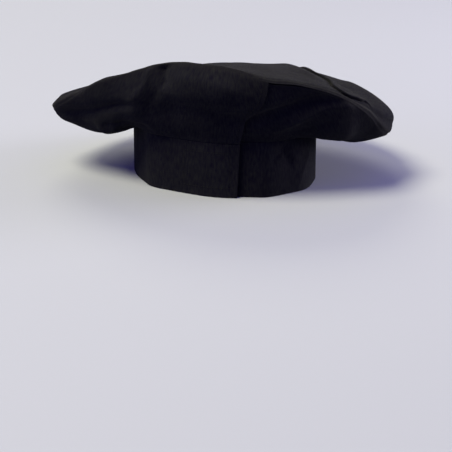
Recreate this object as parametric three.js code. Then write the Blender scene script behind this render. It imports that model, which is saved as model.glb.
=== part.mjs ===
import * as THREE from 'three';

// A black mushroom hat of cloth that stands on its headband.
// Millimetres, +Z up, the floor at z = 0. The closure is at the back, toward -Y.
// Angles are degrees counter-clockwise from +X, seen from above.

// Cloth
const CROWN_CLOTH = 1.2;
const BAND_CLOTH = 2.0;
const SEAM_GAP = 0.4;

// Headband: an upright oval with a few soft dents
const BAND_HEIGHT = 50;
const BAND_LONG = 103;
const BAND_SHORT = 83;
const BAND_TURN = 291;
const BAND_CENTRE_X = 1.99;
const BAND_CENTRE_Y = -22.76;
const BAND_DENTS = [
  // angle, width in degrees, depth (minus is inward)
  [252, 22, -6],
  [279, 12, -4],
  [219, 9, 2.5],
  [291, 5, 1],
  [305, 9, -2],
  [321, 7, 1.5],
];

// Crown: each row is the outline of the cloth at one angle around the hat.
// belly: lowest part of the brim's underside or the fullest part of the back
// seam: where the side ring meets the top; brow: where the top turns over its edge
// cap_z: height of the top at CAP_SHARE of the seam's radius
const SECTIONS = [
  // angle, belly_r, belly_z, seam_r, seam_z, brow_r, brow_z, cap_z
  [0, 112, 32, 155, 41, 154.5, 57, 90.5],
  [30, 116, 32, 157, 44, 151, 55, 81],
  [60, 122, 31, 162, 43, 152, 55, 77],
  [90, 128, 30, 166, 42, 155, 53, 75],
  [120, 126, 30, 165, 44, 153, 54, 76],
  [150, 114, 33, 160, 50, 150, 61, 81],
  [180, 107, 37.5, 159, 60.5, 157, 69, 86.5],
  [194, 110, 44, 142, 79, 136, 86, 95],
  [208, 114, 58, 129, 98.5, 121, 100, 101],
  [221, 114, 76, 116, 109.5, 106, 108.5, 106],
  [238, 113, 94, 106, 121, 96, 117, 110],
  [264, 118.5, 98, 105.5, 122, 96, 120.5, 114],
  [277, 120, 93, 115, 118.5, 105, 118.5, 116],
  [288, 122.5, 84, 126, 111, 113, 114.5, 116],
  [300, 121, 74, 131, 107, 118, 110, 114.5],
  [318, 118, 53, 147, 90, 135, 98, 109],
  [327, 114, 45, 151, 75, 144, 86, 105.5],
  [339, 109, 39.5, 152, 53, 150, 71, 100],
  [351, 108, 34.5, 153, 41, 154, 60, 95.5],
];
const CAP_SHARE = 0.62;
const CENTRE_Z = 104.5;
const TILT_X = 0.02;
const TILT_Y = -0.2;

// Folds are strokes drawn on the flat cloth through places given as [angle, radius].
// Minus depths are valleys, plus depths are ridges. A small bend makes a sharp crease.
const RING_INNER = 85;
const RING_WIDTH = 75;
const SIDE_FOLDS = [
  // depth, width, bend, path
  [-5.5, 4.5, 2.5, [[176, 159], [185, 152], [194, 145], [204, 139], [214, 133], [223, 129], [232, 119]]],
  [2.8, 5, 3, [[156, 163], [166, 158], [174, 153], [182, 147], [190, 141]]],
  [-1.6, 6, 4, [[195, 137], [205, 128], [214, 120], [223, 112]]],
  [-3.5, 4, 2, [[198, 126], [205, 118], [212, 109], [218, 100]]],
  [3, 8, 5, [[191, 124], [198, 117], [204, 110], [208, 104]]],
  [-4, 6, 4, [[198, 92], [207, 97], [217, 99], [228, 96]]],
  [2.5, 5, 3, [[232, 170], [233, 153], [231, 143], [226, 136], [219, 133]]],
  [-4.5, 5, 1.5, [[243, 170], [240, 156], [241, 147], [239, 137]]],
  [-4, 8, 5, [[240, 147], [237, 137], [231, 122], [227, 100]]],
  [4, 6, 4, [[241, 159], [243, 152], [248, 148], [254, 147], [263, 146], [275, 144], [285, 140]]],
  [-9, 8, 16, [[228, 117], [246, 116], [262, 115], [288, 113]]],
  [1.5, 3, 2, [[264, 112], [272, 118], [279, 126], [284, 131]]],
  [-7, 6, 3, [[275, 98], [281, 110], [290, 122], [298, 132], [304, 142], [309, 150], [319, 164]]],
  [3.5, 4.5, 1.5, [[291, 94], [298, 109], [303, 121], [307, 132], [310, 141], [313, 148], [325, 168]]],
  [-1.5, 6, 3, [[302, 96], [308, 109], [313, 124], [317, 138]]],
  [3, 9, 8, [[308, 106], [318, 122], [330, 145]]],
  [-2, 9, 8, [[322, 92], [336, 108], [350, 128]]],
  [-4, 8, 6, [[12, 88], [16, 118], [18, 150]]],
  [-5, 9, 6, [[38, 86], [35, 122], [34, 154]]],
  [-4, 8, 6, [[62, 88], [66, 118], [67, 148]]],
  [-5, 9, 6, [[88, 86], [87, 122], [85, 156]]],
  [-4, 8, 6, [[113, 88], [110, 118], [109, 150]]],
  [-5, 9, 6, [[137, 86], [140, 122], [142, 154]]],
  [-4, 8, 6, [[160, 88], [163, 118], [166, 148]]],
];
const TOP_RADIUS = 155;
const TOP_FOLDS = [
  // depth, width, bend, path
  [3, 7, 4, [[340, 44], [327, 66], [320, 86], [317, 106], [315, 128]]],
  [-1.5, 8, 4, [[331, 78], [330, 100], [327, 118], [330, 126], [340, 122]]],
  [5, 14, 8, [[330, 92], [339, 112], [345, 128], [351, 142], [358, 150]]],
  [2, 5, 3, [[178, 149], [184, 145], [190, 145], [197, 150]]],
  [-2, 4, 3, [[184, 132], [190, 136], [196, 140], [203, 146]]],
  [-3, 12, 8, [[25, 150], [30, 118], [40, 78]]],
  [2.5, 14, 8, [[72, 150], [66, 108], [52, 62]]],
  [-3.5, 14, 8, [[104, 152], [110, 108], [124, 64]]],
  [-3, 12, 8, [[152, 150], [146, 116], [132, 78]]],
  [-2.5, 16, 10, [[200, 112], [226, 84], [262, 74]]],
];

// The side ring is open at the back, where its left end laps over its right end.
// Each row is the lap's edge at one place between the band (0) and the rim seam (1).
const LAP_EDGE = [
  // place, angle
  [0, 278.5],
  [0.3, 279.5],
  [0.53, 283.5],
  [0.7, 286.2],
  [0.85, 287.3],
  [1, 288],
];
const LAP_RAMP = 38;
const UNDERLAP_AT_BAND = 38;
const UNDERLAP_AT_SEAM = 2;
const CROWN_LAP_DEPTH_AT_SEAM = 1.7;

// The band's ends lap in the same way with the closure strip between them
const BAND_LAP_BOTTOM = 277;
const BAND_LAP_TOP = 278.5;
const LAP_DEPTH = 4.0;
const STRIP_FROM = 245;
const STRIP_TO = 273;
const STRIP_BOTTOM = 9;
const STRIP_TOP = 41;
const STRIP_CLEARANCE = 0.35;

// Fineness around the hat, from the lap's edge: the seen half is finer than the far half
const AROUND = [
  // degrees, steps
  [85, 30],
  [175, 36],
  [100, 36],
];
const UNDERLAP_STEPS = 8;
const SIDE_STEPS = 11;
const TOP_PLACES = [0, 0.03, 0.07, 0.12, 0.18, 0.26, 0.36, 0.48, 0.62, 0.78, 0.91, 1];
const BAND_STEPS = 3;
const STRIP_STEPS = 10;
const SMALL_STEP = 0.002;
const RUN_OUT = 0.3;

const radians = THREE.MathUtils.degToRad;
const { clamp, lerp, smoothstep } = THREE.MathUtils;

function turnBetween(from, to) {
  return THREE.MathUtils.euclideanModulo(to - from, 360);
}

function nearTurn(from, to) {
  const turn = turnBetween(from, to);
  return turn > 180 ? turn - 360 : turn;
}

function hermite(p0, p1, m0, m1, t) {
  const t2 = t * t;
  const t3 = t2 * t;
  return p0 * (2 * t3 - 3 * t2 + 1) + m0 * (t3 - 2 * t2 + t) + p1 * (3 * t2 - 2 * t3) + m1 * (t3 - t2);
}

// A row of the section table at any angle, by a smooth curve through the rows
function section(angle) {
  const count = SECTIONS.length;
  const row = (index) => SECTIONS[(index + count) % count];
  const gap = (index) => turnBetween(row(index)[0], row(index + 1)[0]);
  let at = count - 1;
  while (turnBetween(row(at)[0], angle) >= gap(at)) {
    at -= 1;
  }
  const share = turnBetween(row(at)[0], angle) / gap(at);
  const slope = (index, column) => {
    const before = (row(index)[column] - row(index - 1)[column]) / gap(index - 1);
    const after = (row(index + 1)[column] - row(index)[column]) / gap(index);
    return (before * gap(index) + after * gap(index - 1)) / (gap(index - 1) + gap(index));
  };
  const value = (column) => hermite(
    row(at)[column], row(at + 1)[column],
    slope(at, column) * gap(at), slope(at + 1, column) * gap(at), share,
  );
  return {
    belly: new THREE.Vector2(value(1), value(2)),
    seam: new THREE.Vector2(value(3), value(4)),
    brow: new THREE.Vector2(value(5), value(6)),
    capZ: value(7),
  };
}

function bandRadius(angle) {
  const turn = radians(angle - BAND_TURN);
  let radius = 1 / Math.hypot(Math.cos(turn) / BAND_LONG, Math.sin(turn) / BAND_SHORT);
  for (const [at, width, depth] of BAND_DENTS) {
    radius += depth * Math.exp(-((nearTurn(at, angle) / width) ** 2));
  }
  return radius;
}

// A smooth curve through a few points, place 0 at the first and 1 at the last
function along(points, slopes, place) {
  const lengths = points.slice(1).map((point, index) => point.distanceTo(points[index]));
  const total = lengths.reduce((sum, length) => sum + length, 0);
  let left = place * total;
  let piece = 0;
  while (piece < lengths.length - 1 && left > lengths[piece]) {
    left -= lengths[piece];
    piece += 1;
  }
  const length = lengths[piece];
  const share = left / length;
  const value = (axis) => hermite(
    points[piece][axis], points[piece + 1][axis],
    slopes[piece][axis] * length, slopes[piece + 1][axis] * length, share,
  );
  return new THREE.Vector2(value('x'), value('y'));
}

function chord(from, to) {
  return to.clone().sub(from).normalize();
}

function endSlope(chordAtEnd, slopeInside) {
  return chordAtEnd.clone().multiplyScalar(1.5).addScaledVector(slopeInside, -0.5);
}

// Radius and height of the side ring, from the band (0) to the rim seam (1)
function sideProfile(angle, place) {
  const { belly, seam } = section(angle);
  const foot = new THREE.Vector2(bandRadius(angle), BAND_HEIGHT);
  const below = belly.distanceTo(foot);
  const above = seam.distanceTo(belly);
  const first = chord(foot, belly);
  const second = chord(belly, seam);
  const middle = first.clone().multiplyScalar(above).addScaledVector(second, below)
    .divideScalar(above + below);
  const slopes = [endSlope(first, middle), middle, endSlope(second, middle)];
  return along([foot, belly, seam], slopes, place);
}

// Radius and height of the top, from the rim seam (0) to the middle (1)
function topProfile(angle, place) {
  const { seam, brow, capZ } = section(angle);
  const cap = new THREE.Vector2(CAP_SHARE * seam.x, capZ);
  const middle = new THREE.Vector2(0, CENTRE_Z);
  const turn = radians(angle);
  const chords = [chord(seam, brow), chord(brow, cap), chord(cap, middle)];
  const atBrow = chords[0].clone().add(chords[1]).multiplyScalar(0.5);
  const atCap = chords[1].clone().add(chords[2]).multiplyScalar(0.5);
  const atMiddle = new THREE.Vector2(-1, -TILT_X * Math.cos(turn) - TILT_Y * Math.sin(turn));
  const slopes = [endSlope(chords[0], atBrow), atBrow, atCap, atMiddle];
  return along([seam, brow, cap, middle], slopes, place);
}

function fromProfile(profile) {
  return (angle, place) => {
    const { x: radius, y: height } = profile(angle, place);
    const turn = radians(angle);
    return new THREE.Vector3(
      BAND_CENTRE_X + radius * Math.cos(turn), BAND_CENTRE_Y + radius * Math.sin(turn), height,
    );
  };
}

function onPattern([degrees, distance]) {
  return new THREE.Vector2(distance * Math.cos(radians(degrees)), distance * Math.sin(radians(degrees)));
}

// The nearest place of a path: its distance, and how far along the path it is, from 0 to 1
function nearestOn(corners, here) {
  const lengths = corners.slice(1).map((corner, index) => corner.distanceTo(corners[index]));
  const total = lengths.reduce((sum, length) => sum + length, 0);
  const nearest = { distance: Infinity, along: 0 };
  let before = 0;
  lengths.forEach((length, index) => {
    const start = corners[index];
    const stroke = corners[index + 1].clone().sub(start);
    const share = clamp(here.clone().sub(start).dot(stroke) / stroke.lengthSq(), 0, 1);
    const distance = start.clone().addScaledVector(stroke, share).distanceTo(here);
    if (distance < nearest.distance) {
      nearest.distance = distance;
      nearest.along = (before + share * length) / total;
    }
    before += length;
  });
  return nearest;
}

// How far the folds lift the cloth at a place on the flat pattern.
// A fold is deepest along the middle of its path and runs out at both ends.
function foldLift(folds, angle, radius) {
  const here = onPattern([angle, radius]);
  let lift = 0;
  for (const [depth, width, bend, path] of folds) {
    const { distance, along: reached } = nearestOn(path.map(onPattern), here);
    const runsOut = smoothstep(reached, 0, RUN_OUT) * smoothstep(1 - reached, 0, RUN_OUT);
    lift += depth * runsOut * Math.exp(-(Math.hypot(distance, bend) - bend) / width);
  }
  return lift;
}

// The outward normal of a surface, by small steps to each side
function normalOf(surface, angle, place) {
  const degrees = SMALL_STEP * 180;
  const aroundStep = surface(angle + degrees, place).sub(surface(angle - degrees, place));
  const low = Math.max(0, place - SMALL_STEP);
  const high = Math.min(1, place + SMALL_STEP);
  const upStep = surface(angle, high).sub(surface(angle, low));
  return aroundStep.cross(upStep).normalize();
}

function folded(base, liftAt) {
  return (angle, place) => base(angle, place)
    .addScaledVector(normalOf(base, angle, Math.min(place, 1 - SMALL_STEP)), liftAt(angle, place));
}

const sideSurface = folded(fromProfile(sideProfile), (angle, place) => {
  const fade = smoothstep(place, 0, 0.06) * smoothstep(1 - place, 0, 0.05);
  return fade * foldLift(SIDE_FOLDS, angle, RING_INNER + RING_WIDTH * place);
});

const topSurface = folded(fromProfile(topProfile), (angle, place) => {
  const fade = smoothstep(place, 0, 0.05);
  return fade * foldLift(TOP_FOLDS, angle, TOP_RADIUS * (1 - place));
});

// The band runs from the floor (0) to the band seam (1)
const bandSurface = fromProfile((angle, place) => (
  new THREE.Vector2(bandRadius(angle), place * BAND_HEIGHT)
));

// The direction along a surface away from one of its edges, square to that edge
function leaving(surface, angle, place) {
  const degrees = SMALL_STEP * 180;
  const edge = surface(angle + degrees, place).sub(surface(angle - degrees, place)).normalize();
  const inside = place > 0.5 ? 1 - SMALL_STEP : SMALL_STEP;
  const away = surface(angle, inside).sub(surface(angle, place));
  return away.addScaledVector(edge, -away.dot(edge)).normalize();
}

// A point of a mitred edge at some depth under the outer surface
function mitred(own, ownPlace, other, otherPlace, angle, depth) {
  const away = leaving(own, angle, ownPlace);
  const inward = away.clone().add(leaving(other, angle, otherPlace)).normalize();
  if (inward.dot(normalOf(own, angle, ownPlace)) > 0) {
    inward.negate();
  }
  const sine = Math.sqrt(1 - away.dot(inward) ** 2);
  return own(angle, ownPlace)
    .addScaledVector(inward, depth / sine)
    .addScaledVector(away, SEAM_GAP / 2 / sine);
}

function underSurface(surface, angle, place, depth) {
  return surface(angle, place).addScaledVector(normalOf(surface, angle, place), -depth);
}

// Turns around the hat from the lap's edge, finer on the seen half
function turnsAround() {
  const turns = [0];
  for (const [degrees, steps] of AROUND) {
    const from = turns[turns.length - 1];
    for (let step = 1; step <= steps; step += 1) {
      turns.push(from + (degrees * step) / steps);
    }
  }
  return turns;
}

// Columns of a lapped strip: negative shares of the underlap first, then the whole turn
function lappedColumns() {
  const columns = [];
  for (let step = UNDERLAP_STEPS; step > 0; step -= 1) {
    columns.push({ under: step / UNDERLAP_STEPS, turn: 0 });
  }
  for (const turn of turnsAround()) {
    columns.push({ under: 0, turn });
  }
  return columns;
}

function fromTable(rows, place) {
  const last = rows.findIndex(([at]) => at >= place);
  if (last <= 0) {
    return rows[0][1];
  }
  const [before, after] = [rows[last - 1], rows[last]];
  return lerp(before[1], after[1], (place - before[0]) / (after[0] - before[0]));
}

// How far the cloth is under the outer layer: full beneath the lap, then rising to nothing
function lapDepth(column, full) {
  return full * (1 - smoothstep(column.turn, 0, LAP_RAMP));
}

// A closed solid between two grids of points. Grids that wrap have no end faces,
// and grids with a pole meet in one point at their last row.
function shell(outer, inner, { wraps = false, pole = false } = {}) {
  const columns = outer.length;
  const rows = outer[0].length;
  const points = [];
  const keep = (grid) => grid.map((line) => line.map((point) => {
    points.push(point);
    return points.length - 1;
  }));
  const out = keep(outer);
  const back = keep(inner);
  if (pole) {
    for (let column = 1; column < columns; column += 1) {
      out[column][rows - 1] = out[0][rows - 1];
      back[column][rows - 1] = back[0][rows - 1];
    }
  }
  const triangles = [];
  const face = (a, b, c) => {
    if (a !== b && b !== c && c !== a) {
      triangles.push(a, b, c);
    }
  };
  const quad = (a, b, c, d) => {
    face(a, b, c);
    face(a, c, d);
  };
  const spans = wraps ? columns : columns - 1;
  for (let column = 0; column < spans; column += 1) {
    const next = (column + 1) % columns;
    for (let row = 0; row < rows - 1; row += 1) {
      quad(out[column][row], out[next][row], out[next][row + 1], out[column][row + 1]);
      quad(back[column][row], back[column][row + 1], back[next][row + 1], back[next][row]);
    }
    quad(out[column][0], back[column][0], back[next][0], out[next][0]);
    if (!pole) {
      const top = rows - 1;
      quad(out[column][top], out[next][top], back[next][top], back[column][top]);
    }
  }
  if (!wraps) {
    const end = columns - 1;
    for (let row = 0; row < rows - 1; row += 1) {
      quad(out[0][row], out[0][row + 1], back[0][row + 1], back[0][row]);
      quad(out[end][row], back[end][row], back[end][row + 1], out[end][row + 1]);
    }
  }
  const used = [...new Set(triangles)];
  const place = new Map(used.map((old, index) => [old, index]));
  const geometry = new THREE.BufferGeometry();
  geometry.setAttribute('position', new THREE.Float32BufferAttribute(
    used.flatMap((index) => points[index].toArray()), 3,
  ));
  geometry.setIndex(triangles.map((index) => place.get(index)));
  geometry.computeVertexNormals();
  return geometry;
}

function gridOf(columns, places, pointAt) {
  return columns.map((column) => places.map((place, row) => pointAt(column, place, row)));
}

function evenPlaces(steps) {
  return Array.from({ length: steps + 1 }, (_, step) => step / steps);
}

function crownTop() {
  const angles = turnsAround().slice(0, -1).map((turn) => LAP_EDGE[0][1] + turn);
  const layer = (depth) => gridOf(angles, TOP_PLACES, (angle, place) => {
    if (place === 0) {
      return mitred(topSurface, 0, sideSurface, 1, angle, depth);
    }
    if (place === 1) {
      return topSurface(angle, 1).add(new THREE.Vector3(0, 0, -depth));
    }
    return underSurface(topSurface, angle, place, depth);
  });
  return shell(layer(0), layer(CROWN_CLOTH), { wraps: true, pole: true });
}

function crownSide() {
  const layer = (thickness) => gridOf(lappedColumns(), evenPlaces(SIDE_STEPS), (column, place) => {
    const underlap = lerp(UNDERLAP_AT_BAND, UNDERLAP_AT_SEAM, place);
    const edge = fromTable(LAP_EDGE, place);
    const far = smoothstep(Math.min(column.turn, 360 - column.turn), 0, 60);
    const start = lerp(edge, LAP_EDGE[0][1], far);
    const angle = start + column.turn - column.under * underlap;
    const depth = thickness + lapDepth(column, lerp(LAP_DEPTH, CROWN_LAP_DEPTH_AT_SEAM, place));
    if (place === 0) {
      return mitred(sideSurface, 0, bandSurface, 1, angle, depth);
    }
    if (place === 1) {
      return mitred(sideSurface, 1, topSurface, 0, angle, depth);
    }
    return underSurface(sideSurface, angle, place, depth);
  });
  return shell(layer(0), layer(CROWN_CLOTH));
}

function headband() {
  const layer = (thickness) => gridOf(lappedColumns(), evenPlaces(BAND_STEPS), (column, place) => {
    const start = lerp(BAND_LAP_BOTTOM, BAND_LAP_TOP, place);
    const angle = start + column.turn - column.under * UNDERLAP_AT_BAND;
    const depth = thickness + lapDepth(column, LAP_DEPTH);
    if (place === 1) {
      return mitred(bandSurface, 1, sideSurface, 0, angle, depth);
    }
    return underSurface(bandSurface, angle, place, depth);
  });
  return shell(layer(0), layer(BAND_CLOTH));
}

function closureStrip() {
  const angles = evenPlaces(STRIP_STEPS).map((share) => lerp(STRIP_FROM, STRIP_TO, share));
  const places = [STRIP_BOTTOM / BAND_HEIGHT, STRIP_TOP / BAND_HEIGHT];
  const layer = (depth) => gridOf(angles, places, (angle, place) => (
    underSurface(bandSurface, angle, place, depth)
  ));
  return shell(layer(BAND_CLOTH + STRIP_CLEARANCE), layer(LAP_DEPTH - STRIP_CLEARANCE));
}

function piece(name, geometry, material) {
  const mesh = new THREE.Mesh(geometry, material);
  mesh.name = name;
  return mesh;
}

const cloth = new THREE.MeshStandardMaterial({ name: 'black_twill', color: 0x17171b, roughness: 0.9 });
const hookAndLoop = new THREE.MeshStandardMaterial({ name: 'hook_and_loop', color: 0x101012, roughness: 1 });

const hat = new THREE.Group();
hat.name = 'mushroom_hat';
hat.add(
  piece('crown_top', crownTop(), cloth),
  piece('crown_side', crownSide(), cloth),
  piece('headband', headband(), cloth),
  piece('closure_strip', closureStrip(), hookAndLoop),
);

export default hat;
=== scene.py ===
"""Black mushroom chef hat in cotton twill, standing on its headband.

The cloth is worked out in millimetres, around the centre of the headband, and turned into
metres in the model's frame when a mesh is made. Angles are degrees counter-clockwise from +X,
seen from above. The closure is at the back, toward -Y.
"""
import math

import bmesh
import bpy
import numpy as np
from mathutils import Matrix, Vector, noise


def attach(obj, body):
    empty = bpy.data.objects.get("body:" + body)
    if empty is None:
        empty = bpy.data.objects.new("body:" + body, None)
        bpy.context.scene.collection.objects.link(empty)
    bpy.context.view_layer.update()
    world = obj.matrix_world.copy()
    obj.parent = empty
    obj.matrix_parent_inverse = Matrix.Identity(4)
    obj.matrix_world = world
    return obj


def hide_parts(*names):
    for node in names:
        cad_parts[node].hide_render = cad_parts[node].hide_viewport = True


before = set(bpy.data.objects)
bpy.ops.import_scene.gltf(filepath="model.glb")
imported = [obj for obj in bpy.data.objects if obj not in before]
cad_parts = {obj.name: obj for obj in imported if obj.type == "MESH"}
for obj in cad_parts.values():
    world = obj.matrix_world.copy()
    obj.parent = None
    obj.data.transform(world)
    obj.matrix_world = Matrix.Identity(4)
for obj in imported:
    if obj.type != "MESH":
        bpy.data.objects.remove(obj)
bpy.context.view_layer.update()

MM = 0.001

# Cloth
PLY = 0.8
BAND_WALL = 2.0

# Headband: an upright oval with a few soft dents
BAND_HEIGHT = 50.0
BAND_LONG = 103.0
BAND_SHORT = 83.0
BAND_MEAN = 93.0
BAND_TURN = 291.0
BAND_CENTRE = (1.99, -22.76)
BAND_DENTS = [
    # angle, width in degrees, depth (minus is inward)
    (252, 22, -6),
    (279, 12, -4),
    (219, 9, 2.5),
    (291, 5, 1),
    (305, 9, -2),
    (321, 7, 1.5),
]
BAND_FOLDS = [
    # depth, width, bend, path of (angle, height)
    (1.1, 3, 1, [(312, 2), (315, 14), (319, 27), (325, 42)]),
    (-1.6, 2.5, 1, [(310, 22), (306, 31), (302, 42), (299, 50)]),
    (1.0, 2, 1, [(313, 28), (309, 36), (306, 44)]),
    (-1.3, 2, 1, [(294, 30), (298, 36), (303, 39)]),
    (-0.6, 3, 2, [(236, 49), (247, 46), (262, 47), (273, 49)]),
    (0.5, 4, 3, [(228, 10), (240, 15), (254, 12)]),
]

# Crown: each row is the outline of the cloth at one angle around the hat.
# belly: lowest part of the brim's underside or the fullest part of the back
# seam: where the side ring meets the top; brow: where the top turns over its edge
# cap_z: height of the top at CAP_SHARE of the seam's radius
SECTIONS = [
    # angle, belly_r, belly_z, seam_r, seam_z, brow_r, brow_z, cap_z
    (0, 112, 32, 155, 41, 154.5, 57, 90.5),
    (30, 116, 32, 157, 44, 151, 55, 81),
    (60, 122, 31, 162, 43, 152, 55, 77),
    (90, 128, 30, 166, 42, 155, 53, 75),
    (120, 126, 30, 165, 44, 153, 54, 76),
    (150, 114, 33, 160, 50, 150, 61, 81),
    (180, 107, 37.5, 159, 60.5, 157, 69, 86.5),
    (194, 110, 44, 142, 79, 136, 86, 95),
    (208, 114, 58, 129, 98.5, 121, 100, 101),
    (221, 114, 76, 116, 109.5, 106, 108.5, 106),
    (238, 113, 94, 106, 121, 96, 117, 110),
    (264, 118.5, 98, 105.5, 122, 96, 120.5, 114),
    (277, 120, 93, 115, 118.5, 105, 118.5, 116),
    (288, 122.5, 84, 126, 111, 113, 114.5, 116),
    (300, 121, 74, 131, 107, 118, 110, 114.5),
    (318, 118, 53, 147, 90, 135, 98, 109),
    (327, 114, 45, 151, 75, 144, 86, 105.5),
    (339, 109, 39.5, 152, 53, 150, 71, 100),
    (351, 108, 34.5, 153, 41, 154, 60, 95.5),
]
CAP_SHARE = 0.62

# The middle of the top: its height, and how it slopes toward +X and +Y
CENTRE_Z = 104.5
TILT_X = 0.02
TILT_Y = -0.2

# Folds are strokes drawn on the flat cloth through places given as (angle, radius).
# Minus depths are valleys, plus depths are ridges. A small bend makes a sharp crease.
# RUN_OUT is a share of a fold's length. The fades are shares of a piece's width at its seams.
RUN_OUT = 0.3
FOLD_FADE_AT_BAND = 0.06
FOLD_FADE_AT_RIM = 0.05
RING_INNER = 85.0
RING_WIDTH = 75.0
SIDE_FOLDS = [
    # depth, width, bend, path
    (-5.5, 4.5, 2.5,
     [(176, 159), (185, 152), (194, 145), (204, 139), (214, 133), (223, 129), (232, 119)]),
    (2.8, 5, 3, [(156, 163), (166, 158), (174, 153), (182, 147), (190, 141)]),
    (-1.6, 6, 4, [(195, 137), (205, 128), (214, 120), (223, 112)]),
    (-3.5, 4, 2, [(198, 126), (205, 118), (212, 109), (218, 100)]),
    (3, 8, 5, [(191, 124), (198, 117), (204, 110), (208, 104)]),
    (-4, 6, 4, [(198, 92), (207, 97), (217, 99), (228, 96)]),
    (2.5, 5, 3, [(232, 170), (233, 153), (231, 143), (226, 136), (219, 133)]),
    (-4.5, 5, 1.5, [(243, 170), (240, 156), (241, 147), (239, 137)]),
    (-4, 8, 5, [(240, 147), (237, 137), (231, 122), (227, 100)]),
    (4, 6, 4, [(241, 159), (243, 152), (248, 148), (254, 147), (263, 146), (275, 144), (285, 140)]),
    (-9, 8, 16, [(228, 117), (246, 116), (262, 115), (288, 113)]),
    (1.5, 3, 2, [(264, 112), (272, 118), (279, 126), (284, 131)]),
    (-7, 6, 3, [(275, 98), (281, 110), (290, 122), (298, 132), (304, 142), (309, 150), (319, 164)]),
    (3.5, 4.5, 1.5,
     [(291, 94), (298, 109), (303, 121), (307, 132), (310, 141), (313, 148), (325, 168)]),
    (-1.5, 6, 3, [(302, 96), (308, 109), (313, 124), (317, 138)]),
    (3, 9, 8, [(308, 106), (318, 122), (330, 145)]),
    (-2, 9, 8, [(322, 92), (336, 108), (350, 128)]),
    (-4, 8, 6, [(12, 88), (16, 118), (18, 150)]),
    (-5, 9, 6, [(38, 86), (35, 122), (34, 154)]),
    (-4, 8, 6, [(62, 88), (66, 118), (67, 148)]),
    (-5, 9, 6, [(88, 86), (87, 122), (85, 156)]),
    (-4, 8, 6, [(113, 88), (110, 118), (109, 150)]),
    (-5, 9, 6, [(137, 86), (140, 122), (142, 154)]),
    (-4, 8, 6, [(160, 88), (163, 118), (166, 148)]),
]
TOP_RADIUS = 155.0
TOP_FOLDS = [
    # depth, width, bend, path
    (3, 7, 4, [(340, 44), (327, 66), (320, 86), (317, 106), (315, 128)]),
    (-1.5, 8, 4, [(331, 78), (330, 100), (327, 118), (330, 126), (340, 122)]),
    (5, 14, 8, [(330, 92), (339, 112), (345, 128), (351, 142), (358, 150)]),
    (2, 5, 3, [(178, 149), (184, 145), (190, 145), (197, 150)]),
    (-2, 4, 3, [(184, 132), (190, 136), (196, 140), (203, 146)]),
    (-3, 12, 8, [(25, 150), (30, 118), (40, 78)]),
    (2.5, 14, 8, [(72, 150), (66, 108), (52, 62)]),
    (-3.5, 14, 8, [(104, 152), (110, 108), (124, 64)]),
    (-3, 12, 8, [(152, 150), (146, 116), (132, 78)]),
    (-2.5, 16, 10, [(200, 112), (226, 84), (262, 74)]),
]

# A tuck on the right of the top: cloth beyond this line rolls over a narrow groove.
# Places and widths are millimetres across the line, plus on the side that rolls over.
TUCK_PATH = [
    # angle, radius
    (349, 50),
    (338, 70),
    (330, 88),
    (328, 104),
    (324, 120),
    (319.5, 133),
    (319, 141),
    (321, 143),
    (325.5, 140),
    (328, 140.5),
    (331, 137),
    (332, 142),
    (332, 150),
]
TUCK_WIDTH = 2.0
TUCK_REACH = 16.0
TUCK_DEPTH = 3.2
TUCK_DEPTH_WIDTH = 1.5
TUCK_ROLL = 2.4
TUCK_ROLL_PLACE = 3.0
TUCK_OVERHANG = 5.5
TUCK_OVERHANG_PLACE = 2.8
TUCK_GAP = 1.6
TUCK_GAP_PLACE = -0.6
TUCK_GAP_WIDTH = 1.6
TUCK_RUN_OUT = 0.2
TUCK_STEPS = 160
TUCK_ROUNDING = 14

# Small gathers and slack. Spacings are degrees around the hat.
GATHER_SPACING = 4.2
GATHER_HEIGHT = 0.45
GATHER_REACH = 11.0
PUCKER_SPACING = 5.5
PUCKER_HEIGHT = 0.4
PUCKER_REACH = 7.0
SLACK_HEIGHT = 0.8
SLACK_SPAN = 34.0
LIP_HEIGHT = 1.5
LIP_PLACE = 3.5
LIP_WIDTH = 2.4
GROOVE_DEPTH = 0.8
GROOVE_PLACE = 9.0
BAND_SLACK_HEIGHT = 0.35
BAND_SLACK_SPACING = 9.0
BAND_SLACK_AT_FLOOR = 0.4
DETAIL_FADE = 3.0
MITRE_REACH = 8.0

# Seeds of the soft noise
GATHER_SEED = 3.0
PUCKER_SEED = 7.0
SIDE_SLACK_SEED = 5.0
TOP_SLACK_SEED = 11.0
BAND_SLACK_SEED = 21.0

# How far the paler colour reaches from seams, ends and the lip. At the lap's ends and the floor fold it
# is wear. Along the rim seam and the lip it is wear plus painted highlight of the lit seam ridge.
WEAR_AND_HIGHLIGHT_AT_RIM = 2.5
WEAR_AND_HIGHLIGHT_ON_LIP = 3.0
WEAR_AT_END = 1.5
WEAR_AT_FLOOR = 1.5

# Laps at the back: the left end of each strip lies over its right end.
# LAP_RADIUS turns millimetres at the crown's lap into degrees. Ramps and underlaps are degrees.
LAP_EDGE = [
    # place between the band (0) and the rim seam (1), angle
    (0, 278.5),
    (0.3, 279.5),
    (0.53, 283.5),
    (0.7, 286.2),
    (0.85, 287.3),
    (1, 288),
]
LAP_RADIUS = 110.0
LAP_SLANT_TURN = 60.0
LAP_RAMP = 38.0
LAP_DEPTH = 4.0
UNDERLAP_AT_BAND = 38.0
UNDERLAP_AT_SEAM = 2.0
CROWN_LAP_DEPTH_AT_SEAM = 1.7
BAND_LAP = (277.0, 278.5)
STRIP_TURNS = (245.0, 273.0)
STRIP_HEIGHTS = (9.0, 41.0)

# Stitches. A thread is thickest in its middle and starts to swell before its first point.
THREAD = 0.24
THREAD_SIDES = 6
STITCH_LENGTH = 2.2
STITCH_GAP = 0.7
STITCH_LIFT = 0.08
STITCH_POINTS = 5
STEPS_BEFORE_FIRST_POINT = 0.6
STITCH_PATH_STEPS = 40
NOT_ALONG_A_STITCH = (0.3, 0.5, 0.8)
HEM_STITCH_INSET = 4.0
HEM_STITCH_PLACES = (0.04, 0.3, 0.53, 0.7, 0.85, 0.96)

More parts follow.
